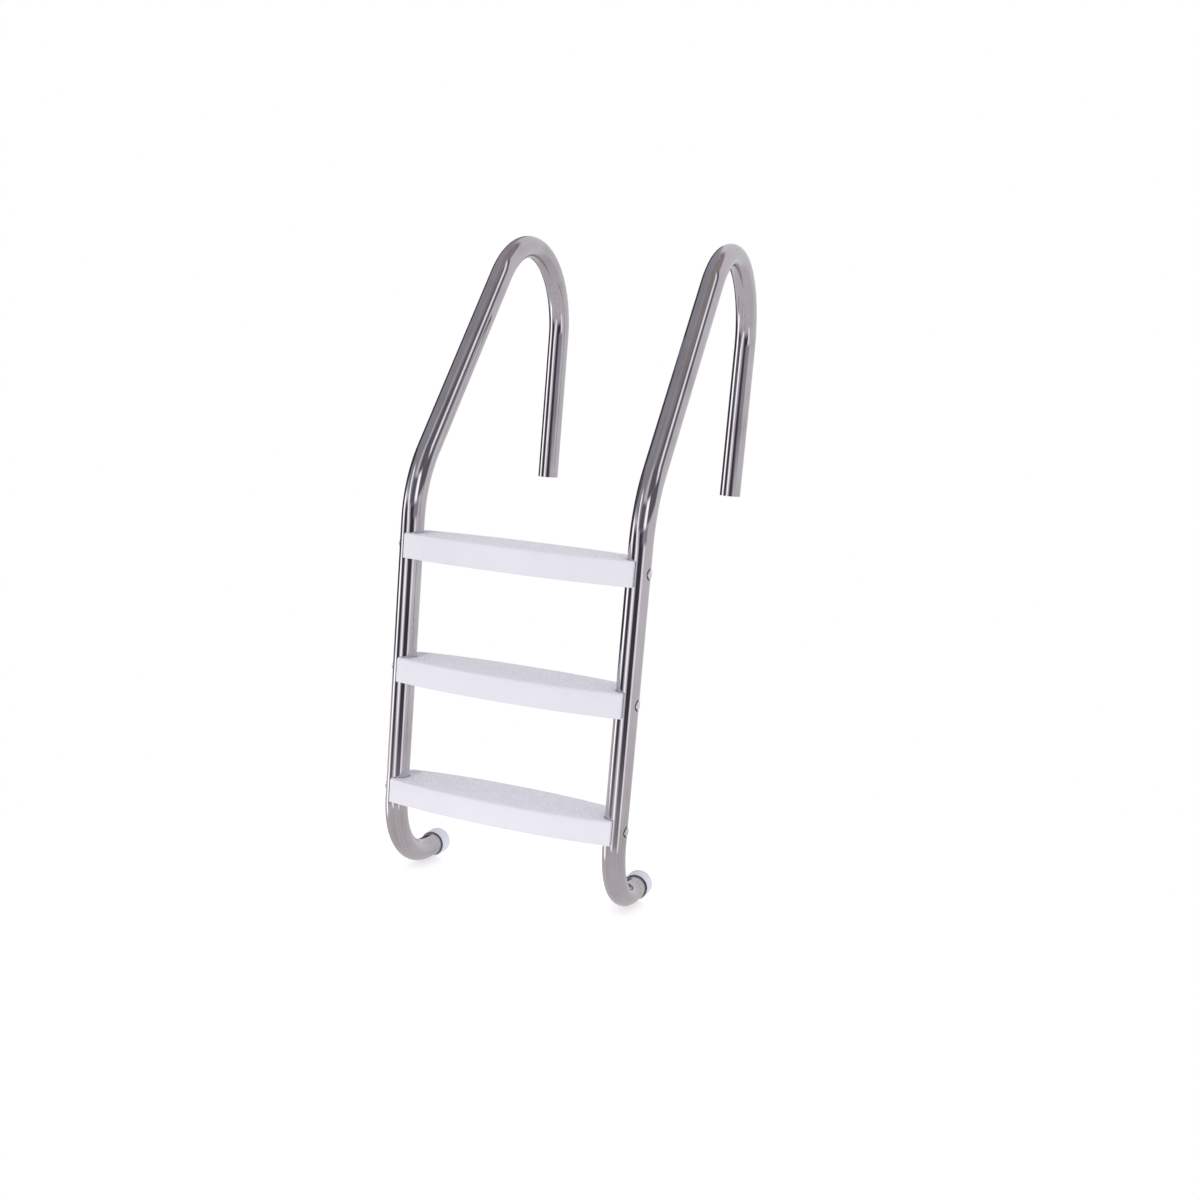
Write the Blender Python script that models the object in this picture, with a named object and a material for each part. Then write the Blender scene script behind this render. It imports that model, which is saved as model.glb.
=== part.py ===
# Pool ladder: two hooped stainless tube rails, three moulded treads, through bolts and foot bumpers.
# Metres, +Z up, +X to the right of somebody climbing out, +Y toward the deck.
# The origin is midway between the cut lower ends of the two rear legs, where they enter the deck anchors.
import math
import bpy
import bmesh
from mathutils import Vector

# ---- driving dimensions ---------------------------------------------------------------------
TUBE_R = 0.02413          # 1.90 in outside diameter tube
TUBE_WALL = 0.00165
RAIL_SPACING = 0.4964     # centre to centre of the two rails
TREAD_PITCH = 0.2606
TOP_BOLT_Z = 0.5492       # above the start of the foot bend
FRONT_LEG = 0.5997        # straight vertical run, foot bend to knee
KNEE_R = 0.2356
KNEE_ANGLE = math.radians(37.3)
INCLINE = 0.4789
ARCH_R = 0.1924
REAR_LEG = 0.3399
FOOT_R = 0.1510
FOOT_ANGLE = math.radians(90.0)
FOOT_STRAIGHT = 0.0590
RAIL_TOE = math.radians(1.15)  # each rail plane turned inward about its front leg, toward the deck
TUBE_SIDES = 24
GAP = 0.0003              # between pieces that touch

TREAD_H = 0.0510
TREAD_FRONT_END = 0.0345  # front lip at the rails, ahead of the tube centre
TREAD_BACK_END = 0.0590   # rear corner at the rails, behind the tube centre
TREAD_CORNER = 0.0120     # rear corner radius
TREAD_BOW_FRONT = 0.0247  # extra depth at mid length, front
TREAD_BOW_BACK = 0.0270   # extra depth at mid length, back
TREAD_WALL = 0.0034
TREAD_TOP = 0.0042
SADDLE_WALL = 0.0062
SADDLE_GAP = 0.0010       # the moulded saddle is a little larger than the tube

BOLT_R = 0.00476          # 3/8 in
HOLE_R = 0.00515
HEAD_R = 0.0095
HEAD_H = 0.0042
SEAT_DEPTH = 0.0026
SEAT_R = 0.0106
SEAT_RIM_R = 0.0131
BOSS = 0.0055
BOSS_HALF = 0.0135
WASHER_R = 0.0110
WASHER_T = 0.0016
NUT_AF = 0.0143
NUT_T = 0.0083
BOLT_PROUD = 0.0030

CAP_DEPTH = 0.030
CAP_WALL = 0.0042
CAP_FLOOR = 0.0060

# ---- start clean ----------------------------------------------------------------------------
for ob in list(bpy.data.objects):
    bpy.data.objects.remove(ob, do_unlink=True)


def material(name, rgb, rough, metal):
    m = bpy.data.materials.new(name)
    m.use_nodes = True
    b = m.node_tree.nodes["Principled BSDF"]
    b.inputs["Base Color"].default_value = (rgb[0], rgb[1], rgb[2], 1.0)
    b.inputs["Roughness"].default_value = rough
    b.inputs["Metallic"].default_value = metal
    return m


RAIL_MAT = material("rail_steel", (0.62, 0.61, 0.60), 0.22, 1.0)
BOLT_MAT = material("fastener_steel", (0.66, 0.65, 0.64), 0.28, 1.0)
TREAD_MAT = material("tread_plastic", (0.86, 0.86, 0.88), 0.45, 0.0)
CAP_MAT = material("bumper_plastic", (0.84, 0.84, 0.86), 0.50, 0.0)


def add(name, verts, faces, mat, smooth=True):
    me = bpy.data.meshes.new(name)
    me.from_pydata([tuple(v) for v in verts], [], faces)
    bm = bmesh.new()
    bm.from_mesh(me)
    bmesh.ops.recalc_face_normals(bm, faces=bm.faces)
    bm.to_mesh(me)
    bm.free()
    ob = bpy.data.objects.new(name, me)
    bpy.context.scene.collection.objects.link(ob)
    if mat is not None:
        me.materials.append(mat)
    if smooth:
        me.shade_smooth()
        me.set_sharp_from_angle(angle=math.radians(35))
    return ob


def cut(target, cutter):
    cutter.hide_render = True
    cutter.display_type = 'WIRE'
    mod = target.modifiers.new(cutter.name, 'BOOLEAN')
    mod.operation = 'DIFFERENCE'
    mod.solver = 'EXACT'
    mod.object = cutter
    return mod


# ---- rail centre line in its own plane, (y, z), with the tangent at each point ---------------
def arc(cy, cz, r, start, sweep, steps):
    # clockwise arc seen with y to the right and z up; start is the angle of the first radius
    out = []
    for i in range(1, steps + 1):
        a = start - sweep * i / steps
        p = (cy + r * math.cos(a), cz + r * math.sin(a))
        t = (math.sin(a), -math.cos(a))
        out.append((p, t))
    return out


def rail_line():
    pts = []
    # foot: from the bumper end, round the foot bend up to the front leg at y = 0, z = 0
    a1 = math.pi + FOOT_ANGLE
    end = (FOOT_R + FOOT_R * math.cos(a1), FOOT_R * math.sin(a1))
    t = (math.sin(a1), -math.cos(a1))
    first = (end[0] - t[0] * FOOT_STRAIGHT, end[1] - t[1] * FOOT_STRAIGHT)
    pts.append((first, t))
    pts.append((end, t))
    pts += arc(FOOT_R, 0.0, FOOT_R, a1, FOOT_ANGLE, 7)
    up = (0.0, 1.0)
    pts.append(((0.0, FRONT_LEG), up))
    pts += arc(KNEE_R, FRONT_LEG, KNEE_R, math.pi, KNEE_ANGLE, 4)
    k, t = pts[-1]
    e = (k[0] + t[0] * INCLINE, k[1] + t[1] * INCLINE)
    pts.append((e, t))
    cy = e[0] + ARCH_R * t[1]
    cz = e[1] - ARCH_R * t[0]
    # a ring of vertices lies exactly on the crest
    pts += arc(cy, cz, ARCH_R, math.pi - KNEE_ANGLE, math.pi / 2 - KNEE_ANGLE, 5)
    pts += arc(cy, cz, ARCH_R, math.pi / 2, math.pi / 2, 8)
    c = pts[-1][0]
    pts.append(((c[0], c[1] - REAR_LEG), (0.0, -1.0)))
    return pts


LINE = rail_line()
END_Z = LINE[-1][0][1]
END_Y = LINE[-1][0][0] * math.cos(RAIL_TOE)


def to_row(y, z):
    return y - END_Y, z - END_Z


LEG_Y, BOLT_TOP = to_row(0.0, TOP_BOLT_Z)
BOLT_Z = [BOLT_TOP - i * TREAD_PITCH for i in range(3)]
LEVELS = ["top", "middle", "bottom"]
CAP_AT = (to_row(*LINE[0][0]), LINE[0][1])


def toed(side, u, y, z):
    # a point of one rail: u outward from its plane, y back, z up, turned about the front leg axis
    back = y - LEG_Y
    c = math.cos(RAIL_TOE)
    s = math.sin(RAIL_TOE)
    x = RAIL_SPACING / 2 + u * c - back * s
    return (side * x, LEG_Y + back * c + u * s, z)


def ring(side, centre, tangent, r, n=TUBE_SIDES):
    # one circle square to the tangent; the first vertex points outward
    y, z = centre
    ny, nz = tangent[1], -tangent[0]
    out = []
    for i in range(n):
        a = 2.0 * math.pi * i / n
        u = r * math.cos(a)
        v = r * math.sin(a)
        out.append(toed(side, u, y + v * ny, z + v * nz))
    return out


def skin(rings):
    verts = [p for rg in rings for p in rg]
    n = len(rings[0])
    faces = []
    for j in range(len(rings) - 1):
        for i in range(n):
            k = (i + 1) % n
            faces.append((j * n + i, j * n + k, (j + 1) * n + k, (j + 1) * n + i))
    return verts, faces


def tube(name, side, r, mat, reach=0.0):
    rings = []
    for i, (p, t) in enumerate(LINE):
        y, z = to_row(*p)
        if i == 0:
            y, z = y - t[0] * reach, z - t[1] * reach
        if i == len(LINE) - 1:
            y, z = y + t[0] * reach, z + t[1] * reach
        rings.append(ring(side, (y, z), t, r))
    verts, faces = skin(rings)
    n = TUBE_SIDES
    faces.append(tuple(range(n)))
    faces.append(tuple(range(len(verts) - n, len(verts))))
    return add(name, verts, faces, mat)


def lathe_x(name, side, profile, at, mat, n=20, phase=0.0):
    # a closed body turned about an X axis; profile is (distance outward from the rail centre, radius)
    verts = []
    faces = []
    idx = []
    cx = side * RAIL_SPACING / 2
    for d, r in profile:
        if r < 1e-7:
            verts.append((cx + side * d, at[0], at[1]))
            idx.append([len(verts) - 1])
        else:
            row = []
            for i in range(n):
                a = 2.0 * math.pi * i / n + phase
                verts.append((cx + side * d, at[0] + r * math.cos(a), at[1] + r * math.sin(a)))
                row.append(len(verts) - 1)
            idx.append(row)
    closed = len(idx[0]) > 1 and len(idx[-1]) > 1
    pairs = list(zip(idx[:-1], idx[1:]))
    if closed:
        pairs.append((idx[-1], idx[0]))
    for a, b in pairs:
        for i in range(n):
            k = (i + 1) % n
            if len(a) == 1:
                faces.append((a[0], b[i], b[k]))
            elif len(b) == 1:
                faces.append((a[i], b[0], a[k]))
            else:
                faces.append((a[i], b[i], b[k], a[k]))
    return add(name, verts, faces, mat)


def merge(name, parts):
    # several separate cutter bodies joined into one object
    verts = []
    faces = []
    for ob in parts:
        base = len(verts)
        verts += [tuple(v.co) for v in ob.data.vertices]
        faces += [tuple(i + base for i in f.vertices) for f in ob.data.polygons]
        bpy.data.objects.remove(ob, do_unlink=True)
    return add(name, verts, faces, None, smooth=False)


# ---- rails ------------------------------------------------------------------------------------
SEAT_X = TUBE_R - SEAT_DEPTH
for side, word in ((-1, "left"), (1, "right")):
    rail = tube("rail_" + word, side, TUBE_R, RAIL_MAT)
    bore = tube("bore_" + word, side, TUBE_R - TUBE_WALL, None, reach=0.02)
    seats = []
    backs = []
    holes = []
    for i, z in enumerate(BOLT_Z):
        at = (LEG_Y, z)
        slope = SEAT_RIM_R - SEAT_R
        far = SEAT_X + 0.0065
        wide = SEAT_R + slope * (far - SEAT_X) / SEAT_DEPTH
        seats.append(lathe_x("seat%d" % i, side, [(SEAT_X, 0), (SEAT_X, SEAT_R), (far, wide), (far, 0)],
                             at, None, 24))
        bx = SEAT_X - TUBE_WALL
        backs.append(lathe_x("back%d" % i, side,
                             [(bx, 0), (bx, SEAT_R + 0.8 * TUBE_WALL),
                              (far, wide + 0.8 * TUBE_WALL), (far, 0)], at, None, 24))
        holes.append(lathe_x("hole%d" % i, side, [(-0.03, 0), (-0.03, HOLE_R), (0.03, HOLE_R), (0.03, 0)],
                             at, None, 20))
    seat = merge("seat_cut_" + word, seats)
    back = merge("seat_back_" + word, backs)
    hole = merge("hole_cut_" + word, holes)
    cut(bore, back)
    bore.hide_render = True
    bore.display_type = 'WIRE'
    cut(rail, seat)
    cut(rail, bore)
    cut(rail, hole)

# ---- treads -----------------------------------------------------------------------------------
HALF = RAIL_SPACING / 2


def corner(x):
    # rounding of the two rear corners
    over = abs(x) - (HALF - TREAD_CORNER)
    if over <= 0.0:
        return 0.0
    return TREAD_CORNER - math.sqrt(max(0.0, TREAD_CORNER ** 2 - over ** 2))


def front_y(x):
    return -(TREAD_FRONT_END + TREAD_BOW_FRONT * (1.0 - abs(x / HALF) ** 2.2))


def back_y(x):
    return TREAD_BACK_END + TREAD_BOW_BACK * (1.0 - abs(x / HALF) ** 2.4) - corner(x)


STATIONS = [0.0, 0.030, 0.060, 0.090, 0.120, 0.148, 0.174, 0.198, 0.219, 0.2362, 0.2412, 0.2452, 0.2476]


def outline(inset, end):
    # plan outline, pulled in by inset front and back and by end at the two ends
    xs = [x * HALF / 0.2482 for x in STATIONS] + [HALF]
    xs = [-x for x in xs[:0:-1]] + xs
    squeeze = (HALF - end) / HALF
    low = [(x * squeeze, LEG_Y + front_y(x) + inset) for x in xs]
    high = [(x * squeeze, LEG_Y + back_y(x) - inset) for x in xs]
    return low + high[::-1]


def block(x0, x1, y0, y1, z0, z1):
    pts = [(x0, y0), (x1, y0), (x1, y1), (x0, y1)]
    return prism("block", pts, z0, z1)


def prism(name, pts, z0, z1):
    n = len(pts)
    verts = [(x, y, z0) for x, y in pts] + [(x, y, z1) for x, y in pts]
    faces = [tuple(range(n)), tuple(range(n, 2 * n))]
    for i in range(n):
        k = (i + 1) % n
        faces.append((i, k, n + k, n + i))
    return add(name, verts, faces, None, smooth=False)


def disc(side, r, z0, z1):
    pts = []
    for k in range(TUBE_SIDES):
        a = 2.0 * math.pi * k / TUBE_SIDES
        pts.append((side * HALF + r * math.cos(a), LEG_Y + r * math.sin(a)))
    return prism("disc", pts, z0, z1)


def rounded_body(name, z0, z1, mat):
    # the outer block with rounded upper and lower edges: stacked outlines, each slightly pulled in
    levels = [(z0, 0.0014), (z0 + 0.0014, 0.0), (z1 - 0.0050, 0.0), (z1 - 0.0022, 0.0010),
              (z1 - 0.0006, 0.0030), (z1, 0.0056)]
    rows = [[(x, y, z) for x, y in outline(inset, 0.0)] for z, inset in levels]
    verts, faces = skin(rows)
    n = len(rows[0])
    faces.append(tuple(range(n)))
    faces.append(tuple(range(len(verts) - n, len(verts))))
    return add(name, verts, faces, mat, smooth=True)


SADDLE_R = TUBE_R + SADDLE_GAP
NUT_FACE = SADDLE_R + SADDLE_WALL + BOSS  # inner face of the end boss, from the rail centre

for i, level in enumerate(LEVELS):
    zb = BOLT_Z[i]
    z0 = zb - TREAD_H / 2
    z1 = zb + TREAD_H / 2
    lo = z0 - 0.01
    hi = z1 - TREAD_TOP
    tread = rounded_body("tread_" + level, z0, z1, TREAD_MAT)
    saddle = merge("saddle_" + level, [disc(-1, SADDLE_R, lo, z1 + 0.01), disc(1, SADDLE_R, lo, z1 + 0.01)])
    cut(tread, saddle)
    # hollow underneath, open downward, leaving the saddle walls and the end bosses
    hollow = prism("hollow_" + level, outline(TREAD_WALL, TREAD_WALL), lo, hi)
    far = SADDLE_R + SADDLE_WALL
    walls = [disc(-1, far, lo - 0.01, z1 + 0.02), disc(1, far, lo - 0.01, z1 + 0.02)]
    cut(hollow, merge("keep_saddle_" + level, walls))
    bosses = []
    for side in (-1, 1):
        xa = side * (HALF - NUT_FACE)
        xb = side * (HALF - SADDLE_R)
        y0 = LEG_Y - BOSS_HALF
        y1 = LEG_Y + BOSS_HALF
        bosses.append(block(min(xa, xb), max(xa, xb), y0, y1, lo - 0.012, z1 + 0.022))
    cut(hollow, merge("keep_boss_" + level, bosses))
    cut(tread, hollow)
    bores = []
    for side in (-1, 1):
        bores.append(lathe_x("b", side, [(-NUT_FACE - 0.01, 0), (-NUT_FACE - 0.01, HOLE_R),
                                         (-0.01, HOLE_R), (-0.01, 0)], (LEG_Y, zb), None, 20))
    cut(tread, merge("tread_bore_" + level, bores))

# ---- fasteners --------------------------------------------------------------------------------
for side, word in ((-1, "left"), (1, "right")):
    for i, level in enumerate(LEVELS):
        at = (LEG_Y, BOLT_Z[i])
        name = word + "_" + level
        seat = SEAT_X + GAP
        wash = -(NUT_FACE + GAP)
        nut = wash - WASHER_T - GAP
        tip = nut - NUT_T - BOLT_PROUD
        prof = [(tip, 0), (tip, BOLT_R - 0.0008), (tip + 0.0008, BOLT_R), (seat, BOLT_R), (seat, HEAD_R)]
        for k in range(1, 6):
            a = math.pi / 2 * k / 6
            prof.append((seat + 0.0010 + (HEAD_H - 0.0010) * math.sin(a), HEAD_R * math.cos(a)))
        prof.insert(5, (seat + 0.0010, HEAD_R))
        prof.append((seat + HEAD_H, 0))
        lathe_x("bolt_" + name, side, prof, at, BOLT_MAT, 20)
        lathe_x("washer_" + name, side, [(wash, BOLT_R + GAP), (wash, WASHER_R), (wash - WASHER_T, WASHER_R),
                                         (wash - WASHER_T, BOLT_R + GAP)], at, BOLT_MAT, 20)
        # hexagonal nut: plain hexagonal prism with a round bore
        rows = []
        cx = side * HALF
        for d in (nut, nut - NUT_T):
            row_o = []
            row_i = []
            for k in range(24):
                a = 2.0 * math.pi * k / 24
                m = (a % (math.pi / 3)) - math.pi / 6
                ro = NUT_AF / 2 / math.cos(m)
                row_o.append((cx + side * d, at[0] + ro * math.cos(a), at[1] + ro * math.sin(a)))
                ri = BOLT_R + GAP
                row_i.append((cx + side * d, at[0] + ri * math.cos(a), at[1] + ri * math.sin(a)))
            rows.append((row_o, row_i))
        loops = [rows[0][0], rows[1][0], rows[1][1], rows[0][1], rows[0][0]]
        verts = [p for lp in loops[:4] for p in lp]
        faces = []
        for j in range(4):
            for k in range(24):
                m = (k + 1) % 24
                q = (j + 1) % 4
                faces.append((j * 24 + k, j * 24 + m, q * 24 + m, q * 24 + k))
        add("nut_" + name, verts, faces, BOLT_MAT)

# ---- foot bumpers -----------------------------------------------------------------------------
(cap_y, cap_z), cap_t = CAP_AT
for side, word in ((-1, "left"), (1, "right")):
    r_in = TUBE_R + GAP + 0.0001
    r_out = r_in + CAP_WALL
    # stations measured outward from the cut end of the tube, then radius
    prof = [(-CAP_DEPTH, r_in), (-CAP_DEPTH, r_out - 0.0012), (-CAP_DEPTH + 0.0012, r_out),
            (CAP_FLOOR - 0.0050, r_out), (CAP_FLOOR - 0.0020, r_out - 0.0012),
            (CAP_FLOOR - 0.0005, r_out - 0.0035), (CAP_FLOOR, r_out - 0.0065)]
    rings = []
    for d, r in prof:
        rings.append(ring(side, (cap_y - cap_t[0] * d, cap_z - cap_t[1] * d), cap_t, r))
    inner = [(GAP, r_in), ]
    for d, r in inner:
        rings.append(ring(side, (cap_y - cap_t[0] * d, cap_z - cap_t[1] * d), cap_t, r))
    n = TUBE_SIDES
    verts = [p for rg in rings for p in rg]
    faces = []
    last = len(prof) - 1
    for j in range(last):
        for k in range(n):
            m = (k + 1) % n
            faces.append((j * n + k, j * n + m, (j + 1) * n + m, (j + 1) * n + k))
    faces.append(tuple(range(last * n, last * n + n)))
    faces.append(tuple(range((last + 1) * n, (last + 1) * n + n)))
    for k in range(n):
        m = (k + 1) % n
        faces.append((k, m, (last + 1) * n + m, (last + 1) * n + k))
    add("bumper_" + word, verts, faces, CAP_MAT)
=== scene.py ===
import math
import bpy
import bmesh
import numpy as np
from mathutils import Matrix, Vector


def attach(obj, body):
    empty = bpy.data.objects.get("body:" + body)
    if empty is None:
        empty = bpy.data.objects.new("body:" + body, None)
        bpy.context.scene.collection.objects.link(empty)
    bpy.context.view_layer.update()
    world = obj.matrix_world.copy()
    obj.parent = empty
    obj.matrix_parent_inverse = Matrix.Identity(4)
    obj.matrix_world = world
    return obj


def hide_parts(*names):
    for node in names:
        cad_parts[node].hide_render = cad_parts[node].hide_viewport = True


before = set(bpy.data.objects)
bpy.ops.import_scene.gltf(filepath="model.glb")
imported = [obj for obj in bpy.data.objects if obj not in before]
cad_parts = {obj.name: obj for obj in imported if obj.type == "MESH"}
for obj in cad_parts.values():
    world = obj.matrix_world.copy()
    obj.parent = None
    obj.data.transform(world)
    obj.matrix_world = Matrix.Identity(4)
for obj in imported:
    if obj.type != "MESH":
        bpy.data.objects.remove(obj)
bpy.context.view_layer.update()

# ---- sizes of the ladder, metres, in the part's own frame -------------------------------------
TUBE_R = 0.02413
WALL = 0.00165
SPACING = 0.4964
PITCH = 0.2606
TOP_BOLT = 0.5492
FRONT_LEG = 0.5997
KNEE_R = 0.2356
KNEE_A = math.radians(37.3)
INCLINE = 0.4789
ARCH_R = 0.1924
REAR_LEG = 0.3399
FOOT_R = 0.1510
FOOT_STRAIGHT = 0.0590
TOE = math.radians(1.15)
HALF = SPACING / 2
TREAD_H = 0.0510
FRONT_END = 0.0345
BACK_END = 0.0590
BOW_FRONT = 0.0247
BOW_BACK = 0.0270
CORNER = 0.0120
SEAT_DEPTH = 0.0026
SEAT_R = 0.0106
SEAT_RIM = 0.0131
HEAD_R = 0.0095
HEAD_H = 0.0042
SADDLE_R = TUBE_R + 0.0010
SADDLE_WALL = 0.0062
BOSS = 0.0055
BOSS_HALF = 0.0135
NUT_FACE = SADDLE_R + SADDLE_WALL + BOSS
BOLT_R = 0.00476
HOLE_R = 0.00515
BOLT_PAST_NUT = 0.0030
THREAD_PITCH = 0.0016
WASHER_R = 0.0110
WASHER_T = 0.0016
NUT_HALF_FLATS = 0.00715
NUT_CHAMFER_R = 0.0074
NUT_H = 0.0083
CLEAR = 0.0003
BORE_STEP = 0.012
TREAD_WALL = 0.0034
TREAD_TOP = 0.0042
CUP_WALL = 0.0042
CUP_NOSE = 0.0060
# grip skin on the tread tops
GRIP_END = 0.030
GRIP_MARGIN = 0.0095
PIP = 0.0054
PIP_ROWS = 1.7
PIP_STRETCH = 1.9
PIP_H = 0.00065


# ---- small helpers ------------------------------------------------------------------------------
def new_object(name, verts, faces, smooth=True, sharp=38.0):
    me = bpy.data.meshes.new(name)
    me.from_pydata([tuple(float(c) for c in v) for v in verts], [], faces)
    bm = bmesh.new()
    bm.from_mesh(me)
    bmesh.ops.recalc_face_normals(bm, faces=bm.faces)
    bm.to_mesh(me)
    bm.free()
    ob = bpy.data.objects.new(name, me)
    bpy.context.scene.collection.objects.link(ob)
    if smooth:
        me.shade_smooth()
        me.set_sharp_from_angle(angle=math.radians(sharp))
    return ob


def grid_faces(rows, cols, wrap=True, base=0):
    out = []
    for j in range(rows - 1):
        for i in range(cols if wrap else cols - 1):
            k = (i + 1) % cols
            out.append((base + j * cols + i, base + j * cols + k,
                        base + (j + 1) * cols + k, base + (j + 1) * cols + i))
    return out


def apply_all(ob):
    dg = bpy.context.evaluated_depsgraph_get()
    me = bpy.data.meshes.new_from_object(ob.evaluated_get(dg))
    old = ob.data
    ob.modifiers.clear()
    ob.data = me
    bpy.data.meshes.remove(old)


def boolean(ob, cutter, op="DIFFERENCE"):
    m = ob.modifiers.new("b", "BOOLEAN")
    m.operation = op
    m.solver = "EXACT"
    m.object = cutter
    apply_all(ob)
    bpy.data.objects.remove(cutter, do_unlink=True)


# ---- rail centre line ---------------------------------------------------------------------------
def rail_line(step_arc, step_line, fine=None):
    # points (y back, z up) with unit tangents, from the foot end to the rear leg end
    pts = []

    def line(p, t, length, step):
        n = max(1, int(round(length / step)))
        for i in range(n):
            s = length * i / n
            pts.append((p[0] + t[0] * s, p[1] + t[1] * s, t[0], t[1]))
        return (p[0] + t[0] * length, p[1] + t[1] * length)

    def bend(c, r, start, sweep, step):
        n = max(2, int(round(r * sweep / step)))
        for i in range(n):
            a = start - sweep * i / n
            pts.append((c[0] + r * math.cos(a), c[1] + r * math.sin(a), math.sin(a), -math.cos(a)))
        a = start - sweep
        return (c[0] + r * math.cos(a), c[1] + r * math.sin(a)), (math.sin(a), -math.cos(a))

    p = (FOOT_R + FOOT_STRAIGHT, -FOOT_R)
    p = line(p, (-1.0, 0.0), FOOT_STRAIGHT, step_line)
    p, t = bend((FOOT_R, 0.0), FOOT_R, 1.5 * math.pi, 0.5 * math.pi, step_arc)
    z = 0.0
    zs = []
    marks = [TOP_BOLT - k * PITCH for k in (2, 1, 0)]
    if fine:
        for b in marks:
            n = max(1, int(round((b - 0.016 - z) / step_line)))
            zs += [z + (b - 0.016 - z) * i / n for i in range(n)]
            n = int(round(0.032 / fine))
            zs += [b - 0.016 + 0.032 * i / n for i in range(n)]
            z = b + 0.016
    n = max(1, int(round((FRONT_LEG - z) / step_line)))
    zs += [z + (FRONT_LEG - z) * i / n for i in range(n)]
    pts += [(0.0, q, 0.0, 1.0) for q in zs]
    p, t = bend((KNEE_R, FRONT_LEG), KNEE_R, math.pi, KNEE_A, step_arc)
    p = line(p, t, INCLINE, step_line)
    c = (p[0] + ARCH_R * t[1], p[1] - ARCH_R * t[0])
    p, t = bend(c, ARCH_R, math.pi - KNEE_A, math.pi - KNEE_A, step_arc)
    p = line(p, t, REAR_LEG, step_line)
    pts.append((p[0], p[1], t[0], t[1]))
    return np.array(pts)


LINE = rail_line(0.004, 0.012, 0.0009)
END_Z = LINE[-1, 1]
LEG_Y = -LINE[-1, 0] * math.cos(TOE)
BOLT_Z = [TOP_BOLT - END_Z - k * PITCH for k in range(3)]
LEVELS = ["top", "middle", "bottom"]
CT = math.cos(TOE)
ST = math.sin(TOE)


def toed(side, u, y, z):
    # rail coordinates (outward, back, up) turned inward about the front leg
    x = HALF + u * CT - y * ST
    return np.stack([side * x, LEG_Y + y * CT + u * ST, z - END_Z], -1)


def ring_points(side, line, radius, count):
    a = np.linspace(0, 2 * math.pi, count, endpoint=False)
    r = np.asarray(radius)
    if r.ndim == 0:
        r = np.full(len(line), float(r))
    u = r[:, None] * np.cos(a)[None, :]
    v = r[:, None] * np.sin(a)[None, :]
    y = line[:, 0:1] + v * line[:, 3:4]
    z = line[:, 1:2] - v * line[:, 2:3]
    return u, v, y, z


def add_uv(ob, us, vs):
    # one value pair per vertex, written to the loops
    uv = ob.data.uv_layers.new(name="along")
    idx = np.zeros(len(ob.data.loops), np.int32)
    ob.data.loops.foreach_get("vertex_index", idx)
    data = np.stack([np.asarray(us)[idx], np.asarray(vs)[idx]], -1).astype(np.float32)
    uv.data.foreach_set("uv", data.ravel())


def build_rail(side, word):
    n = 112
    u, v, y, z = ring_points(side, LINE, TUBE_R, n)
    # pressed seats for the bolt heads on the outer side of the front leg
    for k in range(3):
        zb = TOP_BOLT - k * PITCH
        near = (np.abs(z - zb) < 0.03) & (np.abs(y) < 0.03) & (u > 0)
        rho = np.sqrt(y ** 2 + (z - zb) ** 2)
        seat = TUBE_R - SEAT_DEPTH
        t = np.clip((rho - SEAT_R) / (SEAT_RIM + 0.0012 - SEAT_R), 0, 1)
        t = t * t * (3 - 2 * t)
        u = np.where(near & (rho < SEAT_RIM + 0.0012), np.minimum(u, seat * (1 - t) + u * t), u)
    outer = toed(side, u, y, z).reshape(-1, 3)
    rows = len(LINE)
    verts = [outer]
    faces = grid_faces(rows, n)
    s = np.concatenate([[0], np.cumsum(np.hypot(np.diff(LINE[:, 0]), np.diff(LINE[:, 1])))])
    uu = [np.tile(np.arange(n) / n, rows)]
    vv = [np.repeat(s, n)]
    # the open ends: a square cut face, then a short way into the bore
    inner_line = rail_line(BORE_STEP, 0.05)
    ui, _, yi, zi = ring_points(side, inner_line, TUBE_R - WALL, n)
    inner = toed(side, ui, yi, zi).reshape(-1, 3)
    base = rows * n
    rows_i = len(inner_line)
    verts.append(inner)
    faces += grid_faces(rows_i, n, base=base)
    uu.append(np.tile(np.arange(n) / n, rows_i))
    vv.append(np.full(rows_i * n, 0.0))
    for a, b in ((0, base), ((rows - 1) * n, base + (rows_i - 1) * n)):
        for i in range(n):
            k = (i + 1) % n
            faces.append((a + i, a + k, b + k, b + i))
    ob = new_object("rail_skin_" + word, np.concatenate(verts), faces)
    add_uv(ob, np.concatenate(uu), np.concatenate(vv))
    return ob


# ---- treads -------------------------------------------------------------------------------------
def corner(x):
    over = np.maximum(0.0, np.abs(x) - (HALF - CORNER))
    return CORNER - np.sqrt(np.maximum(0.0, CORNER ** 2 - over ** 2))


def front_y(x):
    return -(FRONT_END + BOW_FRONT * (1.0 - np.abs(x / HALF) ** 2.2))


def back_y(x):
    return BACK_END + BOW_BACK * (1.0 - np.abs(x / HALF) ** 2.4) - corner(x)


def stations(n):
    mid = np.linspace(0, HALF - CORNER, n)
    q = np.linspace(0, math.pi / 2, 9)[1:]
    end = (HALF - CORNER) + CORNER * np.sin(q)
    xs = np.concatenate([mid, end])
    return np.concatenate([-xs[:0:-1], xs])


def outline(inset, end, n=30):
    xs = stations(n)
    squeeze = (HALF - end) / HALF
    low = np.stack([xs * squeeze, LEG_Y + front_y(xs) + inset], -1)
    high = np.stack([xs * squeeze, LEG_Y + back_y(xs) - inset], -1)
    return np.concatenate([low, high[::-1]])


def prism(pts, z0, z1):
    n = len(pts)
    v = np.concatenate([np.c_[pts, np.full(n, z0)], np.c_[pts, np.full(n, z1)]])
    faces = [tuple(range(n)), tuple(range(n, 2 * n))] + grid_faces(2, n)
    return new_object("cut", v, faces, smooth=False)


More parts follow.
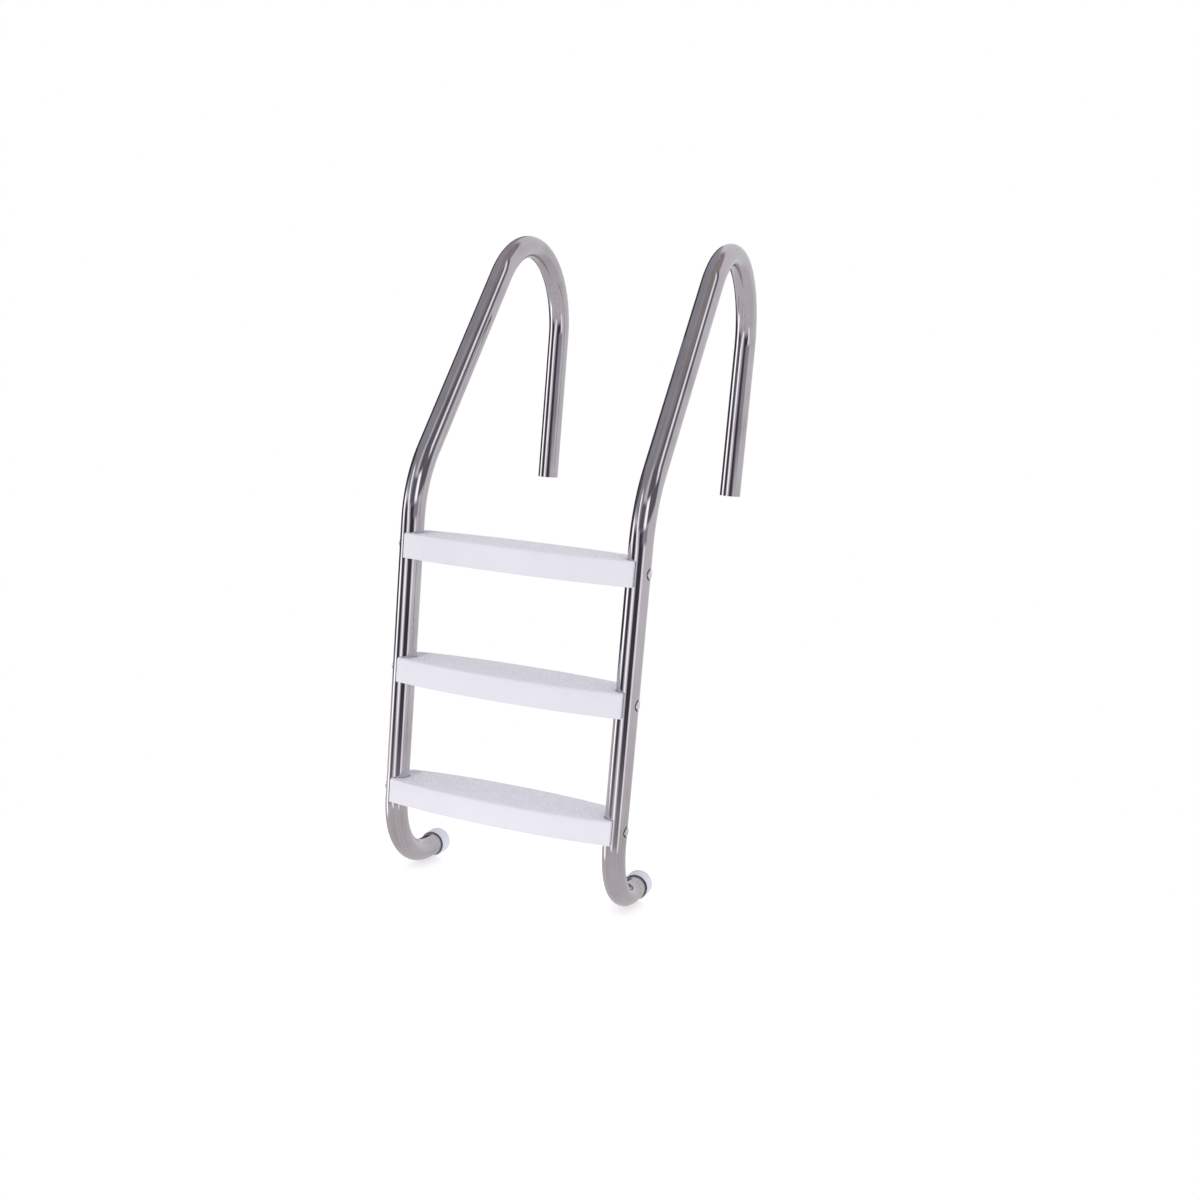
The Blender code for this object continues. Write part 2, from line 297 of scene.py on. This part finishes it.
def disc(side, r, z0, z1, n=96):
    a = np.linspace(0, 2 * math.pi, n, endpoint=False)
    return prism(np.stack([side * HALF + r * np.cos(a), LEG_Y + r * np.sin(a)], -1), z0, z1)


def slab(x0, x1, y0, y1, z0, z1):
    return prism(np.array([(x0, y0), (x1, y0), (x1, y1), (x0, y1)]), z0, z1)


def rod(side, d0, d1, r, at, n=48):
    a = np.linspace(0, 2 * math.pi, n, endpoint=False)
    rows = [np.stack([np.full(n, side * (HALF + d)), at[0] + r * np.cos(a), at[1] + r * np.sin(a)], -1)
            for d in (d0, d1)]
    return new_object("cut", np.concatenate(rows),
                      [tuple(range(n)), tuple(range(n, 2 * n))] + grid_faces(2, n), smooth=False)


def build_tread(level, zb):
    z0 = zb - TREAD_H / 2
    z1 = zb + TREAD_H / 2
    levels = [(z0, 0.0014), (z0 + 0.0005, 0.0005), (z0 + 0.0014, 0.0), (z1 - 0.0050, 0.0),
              (z1 - 0.0034, 0.0003), (z1 - 0.0020, 0.0011), (z1 - 0.0010, 0.0022),
              (z1 - 0.0003, 0.0038), (z1, 0.0056)]
    rows = [np.c_[outline(inset, 0.0), np.full(len(outline(0, 0)), z)] for z, inset in levels]
    n = len(rows[0])
    v = np.concatenate(rows)
    faces = grid_faces(len(rows), n) + [tuple(range(n)), tuple(range(len(v) - n, len(v)))]
    body = new_object("tread_shell_" + level, v, faces)
    for side in (-1, 1):
        boolean(body, disc(side, SADDLE_R, z0 - 0.01, z1 + 0.01))
    lo = z0 - 0.01
    hollow = prism(outline(TREAD_WALL, TREAD_WALL, 20), lo, z1 - TREAD_TOP)
    for side in (-1, 1):
        boolean(hollow, disc(side, SADDLE_R + SADDLE_WALL, lo - 0.01, z1 + 0.02))
        xa = side * (HALF - NUT_FACE)
        xb = side * (HALF - SADDLE_R)
        boolean(hollow, slab(min(xa, xb), max(xa, xb), LEG_Y - BOSS_HALF, LEG_Y + BOSS_HALF,
                             lo - 0.012, z1 + 0.022))
    boolean(body, hollow)
    for side in (-1, 1):
        boolean(body, rod(side, -NUT_FACE - 0.01, -0.01, HOLE_R, (LEG_Y, zb)))
    body.data.shade_smooth()
    body.data.set_sharp_from_angle(angle=math.radians(34))
    return body


def pebbles(level, zb):
    # raised anti-slip skin: a close-packed field of low rounded pips, longer front to back
    z1 = zb + TREAD_H / 2
    nx, ny = 560, 132
    xs = np.linspace(-(HALF - GRIP_END), HALF - GRIP_END, nx)
    t = np.linspace(0, 1, ny)
    yf = front_y(xs) + GRIP_MARGIN
    yb = back_y(xs) - GRIP_MARGIN
    X = np.repeat(xs[:, None], ny, 1)
    Y = yf[:, None] + (yb - yf)[:, None] * t[None, :]
    # bumps on a jittered hexagonal lattice
    gi = np.floor(X / PIP).astype(int)
    gj = np.floor(Y / (PIP * PIP_ROWS)).astype(int)
    local = np.random.default_rng(11)
    tab = local.uniform(-0.16, 0.16, (512, 128, 2)) * PIP
    size = local.uniform(0.60, 1.0, (512, 128))
    fade = local.uniform(0.10, 1.20, (512, 128))
    H = np.zeros_like(X)
    F = np.zeros_like(X)
    for di in (-1, 0, 1, 2):
        for dj in (-1, 0, 1):
            I = gi + di
            J = gj + dj
            cx = (I + 0.5 * (J % 2)) * PIP + tab[I % 512, J % 128, 0]
            cy = (J + 0.5) * PIP * PIP_ROWS + tab[I % 512, J % 128, 1]
            d = np.hypot(X - cx, (Y - cy) / PIP_STRETCH) / (0.50 * PIP * size[I % 512, J % 128])
            h = np.clip(1 - d ** 2, 0, 1) ** 0.7 * size[I % 512, J % 128]
            F = np.where(h > H, fade[I % 512, J % 128], F)
            H = np.maximum(H, h)
    # a soft border
    edge = np.clip(np.minimum(t, 1 - t)[None, :] / 0.02, 0, 1)
    endf = np.clip((HALF - GRIP_END - np.abs(X)) / 0.003, 0, 1)
    Z = 0.00005 + PIP_H * H * edge * endf
    Z = np.where((edge <= 0) | (endf <= 0), -0.0002, Z)
    V = np.stack([X, LEG_Y + Y, z1 + Z], -1)
    keep = np.hypot(np.abs(X) - HALF, Y) > SADDLE_R + 0.004
    idx = np.arange(nx * ny).reshape(nx, ny)
    ok = keep[:-1, :-1] & keep[1:, :-1] & keep[1:, 1:] & keep[:-1, 1:]
    q = np.stack([idx[:-1, :-1], idx[1:, :-1], idx[1:, 1:], idx[:-1, 1:]], -1)[ok]
    used = np.unique(q)
    remap = np.full(nx * ny, -1)
    remap[used] = np.arange(len(used))
    me = bpy.data.meshes.new("tread_grip_" + level)
    me.from_pydata(V.reshape(-1, 3)[used].tolist(), [], remap[q].tolist())
    me.shade_smooth()
    # per-vertex value for the grip material: pip height times a random tone per pip, so the low valleys
    # between pips get painted shade
    pip_shade_tone = me.attributes.new("pip_shade_tone", "FLOAT", "POINT")
    fill = np.where(edge * endf > 0.5, H * F, 1.0).reshape(-1)[used]
    pip_shade_tone.data.foreach_set("value", fill.astype(np.float32))
    ob = bpy.data.objects.new("tread_grip_" + level, me)
    bpy.context.scene.collection.objects.link(ob)
    return ob


# ---- turned pieces ------------------------------------------------------------------------------
def lathe(name, side, prof, at, n=72, closed_loop=False):
    verts = []
    rows = []
    for d, r in prof:
        if r < 1e-7:
            rows.append([len(verts)])
            verts.append((side * (HALF + d), at[0], at[1]))
        else:
            row = []
            for i in range(n):
                a = 2 * math.pi * i / n
                row.append(len(verts))
                verts.append((side * (HALF + d), at[0] + r * math.cos(a), at[1] + r * math.sin(a)))
            rows.append(row)
    pairs = list(zip(rows[:-1], rows[1:]))
    if closed_loop:
        pairs.append((rows[-1], rows[0]))
    faces = []
    for a, b in pairs:
        for i in range(n):
            k = (i + 1) % n
            if len(a) == 1:
                faces.append((a[0], b[i], b[k]))
            elif len(b) == 1:
                faces.append((a[i], b[0], a[k]))
            else:
                faces.append((a[i], b[i], b[k], a[k]))
    return new_object(name, verts, faces, sharp=30.0)


def build_bolt(name, side, at):
    seat = TUBE_R - SEAT_DEPTH + CLEAR
    tip = -(NUT_FACE + CLEAR) - WASHER_T - CLEAR - NUT_H - BOLT_PAST_NUT
    prof = [(tip, 0), (tip, BOLT_R - 0.0009), (tip + 0.0008, BOLT_R - 0.0001)]
    # thread: rounded ridges along the threaded end
    z = tip + 0.0012
    while z < -(NUT_FACE - 0.004):
        prof += [(z, BOLT_R), (z + 0.0004, BOLT_R - 0.0006), (z + 0.0008, BOLT_R)]
        z += THREAD_PITCH
    prof += [(z + 0.001, BOLT_R), (seat, BOLT_R), (seat, HEAD_R - 0.0003), (seat + 0.0003, HEAD_R),
             (seat + 0.0023, HEAD_R), (seat + 0.0026, HEAD_R - 0.0001), (seat + 0.0028, HEAD_R - 0.0003)]
    for k in range(1, 12):
        q = 1 - k / 12
        prof.append((seat + 0.0028 + (HEAD_H - 0.0028) * (1 - q * q), (HEAD_R - 0.0003) * q))
    prof.append((seat + HEAD_H, 0))
    return lathe("bolt_turned_" + name, side, prof, at, 64)


def build_washer(name, side, at):
    w = -(NUT_FACE + CLEAR)
    ri = BOLT_R + CLEAR
    br = 0.0002
    prof = [(w - br, ri), (w, ri + br), (w, WASHER_R - br), (w - br, WASHER_R),
            (w - WASHER_T + br, WASHER_R), (w - WASHER_T, WASHER_R - br), (w - WASHER_T, ri + br),
            (w - WASHER_T + br, ri)]
    return lathe("washer_turned_" + name, side, prof, at, 64, closed_loop=True)


def build_nut(name, side, at):
    n = 96
    d1 = -(NUT_FACE + CLEAR) - WASHER_T - CLEAR
    d0 = d1 - NUT_H
    a = np.linspace(0, 2 * math.pi, n, endpoint=False)
    m = (a % (math.pi / 3)) - math.pi / 6
    hexr = NUT_HALF_FLATS / np.cos(m)
    cham = np.minimum(hexr, NUT_CHAMFER_R)
    ri = BOLT_R + CLEAR
    loops = [(d1, np.full(n, ri + 0.0006)), (d1, cham - 0.0001), (d1 - 0.0009, hexr), (d0 + 0.0009, hexr),
             (d0, cham - 0.0001), (d0, np.full(n, ri + 0.0006)), (d0 + 0.0006, np.full(n, ri)),
             (d1 - 0.0006, np.full(n, ri))]
    v = np.concatenate([np.stack([np.full(n, side * (HALF + d)), at[0] + r * np.cos(a),
                                  at[1] + r * np.sin(a)], -1) for d, r in loops])
    faces = grid_faces(len(loops), n)
    last = (len(loops) - 1) * n
    for i in range(n):
        k = (i + 1) % n
        faces.append((last + i, last + k, k, i))
    return new_object("nut_turned_" + name, v, faces, sharp=28.0)


def build_bumper(side, word):
    # slip-on cup with a flared mouth and a rounded nose
    n = 96
    r_in = TUBE_R + 0.0004
    r_out = r_in + CUP_WALL
    prof = [(0.0003, 0.0), (0.0003, r_in), (-0.0262, r_in), (-0.0290, r_in + 0.0016),
            (-0.0297, r_in + 0.0022), (-0.0300, r_in + 0.0028), (-0.0298, r_out - 0.0006),
            (-0.0293, r_out - 0.0001), (-0.0286, r_out), (0.0, r_out)]
    for k in range(1, 11):
        a = math.pi / 2 * k / 10
        prof.append((CUP_NOSE * math.sin(a), r_out - 0.0065 * (1 - math.cos(a))))
    prof.append((CUP_NOSE, 0.0))
    d = np.array([q[0] for q in prof])
    r = np.array([q[1] for q in prof])
    line = np.stack([FOOT_R + FOOT_STRAIGHT + d, np.full(len(d), -FOOT_R),
                     np.full(len(d), -1.0), np.zeros(len(d))], -1)
    u, v, y, z = ring_points(side, line, r, n)
    pts = toed(side, u, y, z).reshape(-1, 3)
    faces = grid_faces(len(d), n)
    ob = new_object("bumper_cup_" + word, pts, faces, sharp=40.0)
    bm = bmesh.new()
    bm.from_mesh(ob.data)
    bmesh.ops.remove_doubles(bm, verts=bm.verts, dist=1e-6)
    bm.to_mesh(ob.data)
    bm.free()
    ob.data.shade_smooth()
    ob.data.set_sharp_from_angle(angle=math.radians(40))
    return ob


# ---- materials ----------------------------------------------------------------------------------
def base_material(name):
    m = bpy.data.materials.new(name)
    m.use_nodes = True
    nt = m.node_tree
    return m, nt, nt.nodes["Principled BSDF"]


def node(nt, kind, **inputs):
    n = nt.nodes.new(kind)
    for k, v in inputs.items():
        n.inputs[k.replace("_", " ")].default_value = v
    return n


def ramp(nt, stops):
    r = nt.nodes.new("ShaderNodeValToRGB")
    el = r.color_ramp.elements
    while len(el) > 1:
        el.remove(el[-1])
    el[0].position = stops[0][0]
    el[0].color = stops[0][1]
    for pos, col in stops[1:]:
        e = el.new(pos)
        e.color = col
    return r


def grey(v, t=(1.0, 1.0, 1.0)):
    return (v * t[0], v * t[1], v * t[2], 1.0)


def steel(name, rough_lo, rough_hi, tone, uv=True):
    m, nt, b = base_material(name)
    ln = nt.links.new
    b.inputs["Metallic"].default_value = 1.0
    if uv:
        tc = nt.nodes.new("ShaderNodeUVMap")
        tc.uv_map = "along"
        src = tc.outputs["UV"]
        mp = nt.nodes.new("ShaderNodeMapping")
        mp.inputs["Scale"].default_value = (90.0, 2.2, 1.0)
    else:
        tc = nt.nodes.new("ShaderNodeTexCoord")
        src = tc.outputs["Object"]
        mp = nt.nodes.new("ShaderNodeMapping")
        mp.inputs["Scale"].default_value = (60.0, 420.0, 420.0)
    ln(src, mp.inputs["Vector"])
    # fine lengthwise polishing lines
    n1 = node(nt, "ShaderNodeTexNoise", Scale=1.0, Detail=5.0, Roughness=0.6)
    ln(mp.outputs["Vector"], n1.inputs["Vector"])
    # broad soft variation of the polish
    tc2 = nt.nodes.new("ShaderNodeTexCoord")
    n2 = node(nt, "ShaderNodeTexNoise", Scale=9.0, Detail=3.0, Roughness=0.55)
    ln(tc2.outputs["Object"], n2.inputs["Vector"])
    r1 = nt.nodes.new("ShaderNodeMapRange")
    r1.inputs["From Min"].default_value = 0.3
    r1.inputs["From Max"].default_value = 0.7
    r1.inputs["To Min"].default_value = rough_lo
    r1.inputs["To Max"].default_value = rough_hi
    mixr = nt.nodes.new("ShaderNodeMath")
    mixr.operation = "MULTIPLY_ADD"
    ln(n1.outputs["Fac"], mixr.inputs[0])
    mixr.inputs[1].default_value = 0.5
    half = nt.nodes.new("ShaderNodeMath")
    half.operation = "MULTIPLY"
    half.inputs[1].default_value = 0.5
    ln(n2.outputs["Fac"], half.inputs[0])
    ln(half.outputs[0], mixr.inputs[2])
    ln(mixr.outputs[0], r1.inputs["Value"])
    ln(r1.outputs["Result"], b.inputs["Roughness"])
    col = ramp(nt, [(0.34, grey(0.78, tone)), (0.50, grey(1.0, tone)), (0.66, grey(1.10, tone))])
    ln(mixr.outputs[0], col.inputs["Fac"])
    ln(col.outputs["Color"], b.inputs["Base Color"])
    if uv:
        # painted shade: the rail's colour goes near black in a ring round each bolt head, inside its
        # pressed seat on the outer side, where the recess is shadowed
        geo = nt.nodes.new("ShaderNodeTexCoord")
        shade = None
        for z in BOLT_Z:
            flat = nt.nodes.new("ShaderNodeVectorMath")
            flat.operation = "MULTIPLY"
            flat.inputs[1].default_value = (0.0, 1.0, 1.0)
            ln(geo.outputs["Object"], flat.inputs[0])
            dist = nt.nodes.new("ShaderNodeVectorMath")
            dist.operation = "DISTANCE"
            dist.inputs[1].default_value = (0.0, LEG_Y, z)
            ln(flat.outputs["Vector"], dist.inputs[0])
            near = nt.nodes.new("ShaderNodeMapRange")
            near.interpolation_type = "SMOOTHSTEP"
            near.inputs["From Min"].default_value = SEAT_RIM
            near.inputs["From Max"].default_value = SEAT_R + 0.0010
            near.inputs["To Min"].default_value = 0.0
            near.inputs["To Max"].default_value = 1.0
            ln(dist.outputs["Value"], near.inputs["Value"])
            if shade is None:
                shade = near.outputs["Result"]
            else:
                mx = nt.nodes.new("ShaderNodeMath")
                mx.operation = "MAXIMUM"
                ln(shade, mx.inputs[0])
                ln(near.outputs["Result"], mx.inputs[1])
                shade = mx.outputs[0]
        px = nt.nodes.new("ShaderNodeSeparateXYZ")
        ln(geo.outputs["Object"], px.inputs[0])
        ax = nt.nodes.new("ShaderNodeMath")
        ax.operation = "ABSOLUTE"
        ln(px.outputs["X"], ax.inputs[0])
        outer = nt.nodes.new("ShaderNodeMath")
        outer.operation = "GREATER_THAN"
        outer.inputs[1].default_value = HALF
        ln(ax.outputs[0], outer.inputs[0])
        both = nt.nodes.new("ShaderNodeMath")
        both.operation = "MULTIPLY"
        ln(shade, both.inputs[0])
        ln(outer.outputs[0], both.inputs[1])
        # mixes the painted seat shade into the rail colour
        seat_shade_mix = nt.nodes.new("ShaderNodeMix")
        seat_shade_mix.data_type = "RGBA"
        ln(both.outputs[0], seat_shade_mix.inputs["Factor"])
        ln(col.outputs["Color"], seat_shade_mix.inputs["A"])
        # near-black colour of the painted shade in the bolt seats
        seat_shade_mix.inputs["B"].default_value = (0.02, 0.02, 0.025, 1.0)
        ln(seat_shade_mix.outputs["Result"], b.inputs["Base Color"])
    bump = nt.nodes.new("ShaderNodeBump")
    bump.inputs["Strength"].default_value = 0.04
    bump.inputs["Distance"].default_value = 0.0004
    ln(n1.outputs["Fac"], bump.inputs["Height"])
    ln(bump.outputs["Normal"], b.inputs["Normal"])
    return m


def plastic(name, low, high, rough, scale, bump_d, bump_s=0.25):
    m, nt, b = base_material(name)
    ln = nt.links.new
    tc = nt.nodes.new("ShaderNodeTexCoord")
    n1 = node(nt, "ShaderNodeTexNoise", Scale=6.0, Detail=4.0, Roughness=0.6)
    ln(tc.outputs["Object"], n1.inputs["Vector"])
    col = ramp(nt, [(0.3, low), (0.7, high)])
    ln(n1.outputs["Fac"], col.inputs["Fac"])
    ln(col.outputs["Color"], b.inputs["Base Color"])
    n2 = node(nt, "ShaderNodeTexNoise", Scale=scale, Detail=2.0, Roughness=0.5)
    ln(tc.outputs["Object"], n2.inputs["Vector"])
    r = nt.nodes.new("ShaderNodeMapRange")
    r.inputs["From Min"].default_value = 0.3
    r.inputs["From Max"].default_value = 0.7
    r.inputs["To Min"].default_value = rough - 0.06
    r.inputs["To Max"].default_value = rough + 0.08
    ln(n2.outputs["Fac"], r.inputs["Value"])
    ln(r.outputs["Result"], b.inputs["Roughness"])
    bump = nt.nodes.new("ShaderNodeBump")
    bump.inputs["Strength"].default_value = bump_s
    bump.inputs["Distance"].default_value = bump_d
    ln(n2.outputs["Fac"], bump.inputs["Height"])
    ln(bump.outputs["Normal"], b.inputs["Normal"])
    b.inputs["Subsurface Weight"].default_value = 0.0
    return m


def grip_plastic(name, low, high, rough):
    m = plastic(name, low, high, rough, 1400.0, 0.0001)
    nt = m.node_tree
    b = nt.nodes["Principled BSDF"]
    src = b.inputs["Base Color"].links[0].from_socket
    at = nt.nodes.new("ShaderNodeAttribute")
    at.attribute_name = "pip_shade_tone"
    mr = nt.nodes.new("ShaderNodeMapRange")
    mr.inputs["From Min"].default_value = 0.0
    mr.inputs["From Max"].default_value = 0.75
    mr.inputs["To Min"].default_value = 0.60
    mr.inputs["To Max"].default_value = 0.0
    nt.links.new(at.outputs["Fac"], mr.inputs["Value"])
    # painted shade: low points between the pips are mixed toward a darker grey, and each pip's random tone
    # varies it as well
    mx = nt.nodes.new("ShaderNodeMix")
    mx.data_type = "RGBA"
    nt.links.new(mr.outputs["Result"], mx.inputs["Factor"])
    nt.links.new(src, mx.inputs["A"])
    mx.inputs["B"].default_value = (0.70, 0.70, 0.75, 1)
    nt.links.new(mx.outputs["Result"], b.inputs["Base Color"])
    return m


RAIL = steel("rail_polished_steel", 0.022, 0.060, (0.585, 0.550, 0.590))
FAST = steel("fastener_satin_steel", 0.07, 0.15, (0.80, 0.78, 0.80), uv=False)
SHELL = plastic("tread_moulded_plastic", (0.77, 0.76, 0.81, 1), (0.81, 0.80, 0.85, 1), 0.40, 900.0, 0.0001)
GRIP = grip_plastic("tread_grip_plastic", (0.88, 0.88, 0.92, 1), (0.93, 0.93, 0.97, 1), 0.50)
CUP = plastic("bumper_moulded_plastic", (0.72, 0.73, 0.79, 1), (0.78, 0.79, 0.84, 1), 0.42, 900.0, 0.0001)

# ---- build, ride, replace -----------------------------------------------------------------------
def place(ob, mat, cad):
    ob.data.materials.clear()
    ob.data.materials.append(mat)
    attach(ob, "root")
    if cad:
        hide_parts(cad)


for side, word in ((-1, "left"), (1, "right")):
    place(build_rail(side, word), RAIL, "rail_" + word)
    place(build_bumper(side, word), CUP, "bumper_" + word)
    for k, level in enumerate(LEVELS):
        at = (LEG_Y, BOLT_Z[k])
        tag = word + "_" + level
        place(build_bolt(tag, side, at), FAST, "bolt_" + tag)
        place(build_washer(tag, side, at), FAST, "washer_" + tag)
        place(build_nut(tag, side, at), FAST, "nut_" + tag)
for k, level in enumerate(LEVELS):
    place(build_tread(level, BOLT_Z[k]), SHELL, "tread_" + level)
    grip = pebbles(level, BOLT_Z[k])
    place(grip, GRIP, None)

# ---- floor --------------------------------------------------------------------------------------
FLOOR_Z = -FOOT_R - END_Z - 0.0287 - 0.0006
FLOOR_AT = (0.0, -0.60)
FLOOR_RAD = 1.25
ang = np.linspace(0, 2 * math.pi, 128, endpoint=False)
rows = [np.stack([FLOOR_AT[0] + q * np.cos(ang), FLOOR_AT[1] + q * np.sin(ang), np.full(128, FLOOR_Z)], -1)
        for q in (0.05, 0.4, 0.8, FLOOR_RAD)]
floor = new_object("studio_floor", np.concatenate(rows), grid_faces(4, 128) + [tuple(range(128))],
                   smooth=False)
fm, nt, b = base_material("pale_floor")
b.inputs["Base Color"].default_value = (0.90, 0.90, 0.91, 1)
b.inputs["Roughness"].default_value = 0.9
b.inputs["Specular IOR Level"].default_value = 0.0
tc = nt.nodes.new("ShaderNodeTexCoord")
off = nt.nodes.new("ShaderNodeVectorMath")
off.operation = "SUBTRACT"
off.inputs[1].default_value = (FLOOR_AT[0], FLOOR_AT[1], FLOOR_Z)
nt.links.new(tc.outputs["Object"], off.inputs[0])
ln_ = nt.nodes.new("ShaderNodeVectorMath")
ln_.operation = "LENGTH"
nt.links.new(off.outputs["Vector"], ln_.inputs[0])
mr = nt.nodes.new("ShaderNodeMapRange")
mr.interpolation_type = "SMOOTHSTEP"
mr.inputs["From Min"].default_value = 0.25
mr.inputs["From Max"].default_value = FLOOR_RAD - 0.02
nt.links.new(ln_.outputs["Value"], mr.inputs["Value"])
glow = nt.nodes.new("ShaderNodeEmission")
glow.inputs["Color"].default_value = (1, 1, 1, 1)
ms = nt.nodes.new("ShaderNodeMixShader")
nt.links.new(mr.outputs["Result"], ms.inputs["Fac"])
addn = nt.nodes.new("ShaderNodeAddShader")
low_glow = nt.nodes.new("ShaderNodeEmission")
low_glow.inputs["Color"].default_value = (1, 1, 1, 1)
low_glow.inputs["Strength"].default_value = 0.42
nt.links.new(b.outputs[0], addn.inputs[0])
nt.links.new(low_glow.outputs[0], addn.inputs[1])
nt.links.new(addn.outputs[0], ms.inputs[1])
nt.links.new(glow.outputs[0], ms.inputs[2])
nt.links.new(ms.outputs[0], nt.nodes["Material Output"].inputs["Surface"])
floor.data.materials.append(fm)
floor.visible_glossy = False

# ---- studio light -------------------------------------------------------------------------------
# A pale room with a few black flags and strip lights in it. Their directions are given as angles
# about Z from the way toward the viewer, and polished metal shows them as lengthwise stripes.
VIEW = math.radians(-68.5)
world = bpy.data.worlds.new("studio")
bpy.context.scene.world = world
world.use_nodes = True
wt = world.node_tree
wl = wt.links.new
bg = wt.nodes["Background"]


def wmath(op, a, b=None, c=None):
    n = wt.nodes.new("ShaderNodeMath")
    n.operation = op
    for i, v in enumerate((a, b, c)):
        if v is None:
            continue
        if isinstance(v, (int, float)):
            n.inputs[i].default_value = v
        else:
            wl(v, n.inputs[i])
    return n.outputs[0]


def wmix(fac, a, b):
    n = wt.nodes.new("ShaderNodeMix")
    n.data_type = "RGBA"
    for sock, v in (("Factor", fac), ("A", a), ("B", b)):
        if isinstance(v, (tuple, float, int)):
            n.inputs[sock].default_value = v
        else:
            wl(v, n.inputs[sock])
    return n.outputs["Result"]


geo = wt.nodes.new("ShaderNodeTexCoord")
rot = wt.nodes.new("ShaderNodeVectorRotate")
rot.rotation_type = "Z_AXIS"
rot.inputs["Angle"].default_value = -VIEW
wl(geo.outputs["Generated"], rot.inputs["Vector"])
sep = wt.nodes.new("ShaderNodeSeparateXYZ")
wl(rot.outputs["Vector"], sep.inputs[0])
angle = wmath("ARCTAN2", sep.outputs["Y"], sep.outputs["X"])


degrees = wmath("MULTIPLY", angle, 180 / math.pi)
height = sep.outputs["Z"]


def smooth(value, lo, hi):
    n = wt.nodes.new("ShaderNodeMapRange")
    n.interpolation_type = "SMOOTHSTEP"
    n.inputs["From Min"].default_value = lo
    n.inputs["From Max"].default_value = hi
    wl(value, n.inputs["Value"])
    return n.outputs["Result"]


def tone(v, warm=0.0, blue=0.0):
    # a near grey light level, leaned a little toward warm brown or toward blue
    return (v * (1.0 + 0.5 * warm), v * (1.0 - 0.10 * warm), v * (1.0 - 0.42 * warm + 0.5 * blue), 1.0)


def panel(behind, light, centre, width, low, high, lean=0.0, edge=8.0, fade=0.10):
    # one flag or light hung in the room: centre and width in degrees, low and high as the rise of the
    # direction, lean the degrees it drifts over a rise of 1, edge and fade its soft borders
    drift = wmath("MULTIPLY_ADD", height, lean, centre)
    off = wmath("ABSOLUTE", wmath("SUBTRACT", degrees, drift))
    across = wmath("SUBTRACT", 1.0, smooth(off, width / 2 - edge / 2, width / 2 + edge / 2))
    above = smooth(height, low - fade / 2, low + fade / 2)
    below = wmath("SUBTRACT", 1.0, smooth(height, high - fade / 2, high + fade / 2))
    return wmix(wmath("MULTIPLY", across, wmath("MULTIPLY", above, below)), behind, light)


DARK, DIM, GREY = tone(0.06, 0, 0.4), tone(0.15, 0, 0.3), tone(0.36, 0, 0.2)

# plain walls, a pale floor and a warm dim ceiling
room = wmix(smooth(height, -0.45, -0.15), tone(0.63, 0.05), tone(0.74))
room = wmix(smooth(height, 0.90, 0.97), room, tone(0.32, 0.20))
# the left wall is grey above the flags, and the right wall is warm near the ceiling
room = panel(room, GREY, -110, 140, 0.25, 0.95, edge=20)
room = panel(room, tone(0.28, 0.40), 130, 100, 0.84, 0.95, edge=30)
# black flags round the viewer, open at the right
room = panel(room, DARK, -145, 70, -0.22, 0.45, edge=12)
room = panel(room, DARK, -70, 30, -0.32, 0.14, edge=10, fade=0.20)
room = panel(room, DARK, -5, 40, -0.32, 0.18, lean=-30, edge=10, fade=0.20)
room = panel(room, GREY, 25, 40, -0.06, 0.16, edge=16)
room = panel(room, DIM, -22, 40, 0.15, 0.55)
room = panel(room, DIM, 55, 60, 0.18, 0.60)
room = panel(room, DIM, 20, 64, 0.58, 0.94, edge=14)
room = panel(room, DIM, 77, 14, 0.58, 0.93)
# strip lights between the flags
room = panel(room, tone(1.90), -102, 18, -0.50, 0.14)
room = panel(room, tone(1.50, 0, 0.1), -46, 14, -0.42, 0.58, lean=-45)
room = panel(room, tone(1.20), 31, 14, -0.42, -0.08)
room = panel(room, tone(1.60), 14, 20, 0.17, 0.56)
room = panel(room, tone(1.30), 61, 12, 0.56, 0.94)
lp = wt.nodes.new("ShaderNodeLightPath")
# matt surfaces are lit by the even average of the room
room = wmix(lp.outputs["Is Diffuse Ray"], room, (0.88, 0.87, 0.91, 1))
room = wmix(lp.outputs["Is Camera Ray"], room, (1.0, 1.0, 1.0, 1))
wl(room, bg.inputs["Color"])


def area(name, loc, target, size, power, color=(1, 1, 1)):
    d = bpy.data.lights.new(name, "AREA")
    d.shape = "RECTANGLE"
    d.size, d.size_y = size
    d.energy = power
    d.color = color
    ob = bpy.data.objects.new(name, d)
    ob.location = loc
    ob.rotation_euler = (Vector(target) - Vector(loc)).to_track_quat("-Z", "Y").to_euler()
    bpy.context.scene.collection.objects.link(ob)
    ob.visible_glossy = False
    return ob


area("key", (-0.9, -3.0, 1.2), (0, -0.5, -0.4), (1.8, 1.8), 9)

# ---- camera -------------------------------------------------------------------------------------
AZ, EL, ROLL = math.radians(21.49), math.radians(10.62), math.radians(4.47)
LENS, SHIFT_X, SHIFT_Y = 41.76, 0.0407, 0.0361
CAM_AT = (1.0828, LEG_Y - 2.5518, 0.8743 + 0.026 - END_Z)
back = Vector((math.sin(AZ) * math.cos(EL), -math.cos(AZ) * math.cos(EL), math.sin(EL)))
right = (-back).cross(Vector((0, 0, 1))).normalized()
upv = right.cross(-back)
r2 = right * math.cos(ROLL) + upv * math.sin(ROLL)
u2 = upv * math.cos(ROLL) - right * math.sin(ROLL)
cam_d = bpy.data.cameras.new("camera")
cam_d.sensor_width = 36.0
cam_d.lens = LENS
cam_d.shift_x = SHIFT_X
cam_d.shift_y = SHIFT_Y
cam = bpy.data.objects.new("camera", cam_d)
rot = Matrix((r2, u2, back)).transposed().to_4x4()
cam.matrix_world = Matrix.Translation(CAM_AT) @ rot
bpy.context.scene.collection.objects.link(cam)
bpy.context.scene.camera = cam
bpy.context.scene.view_settings.view_transform = "Standard"
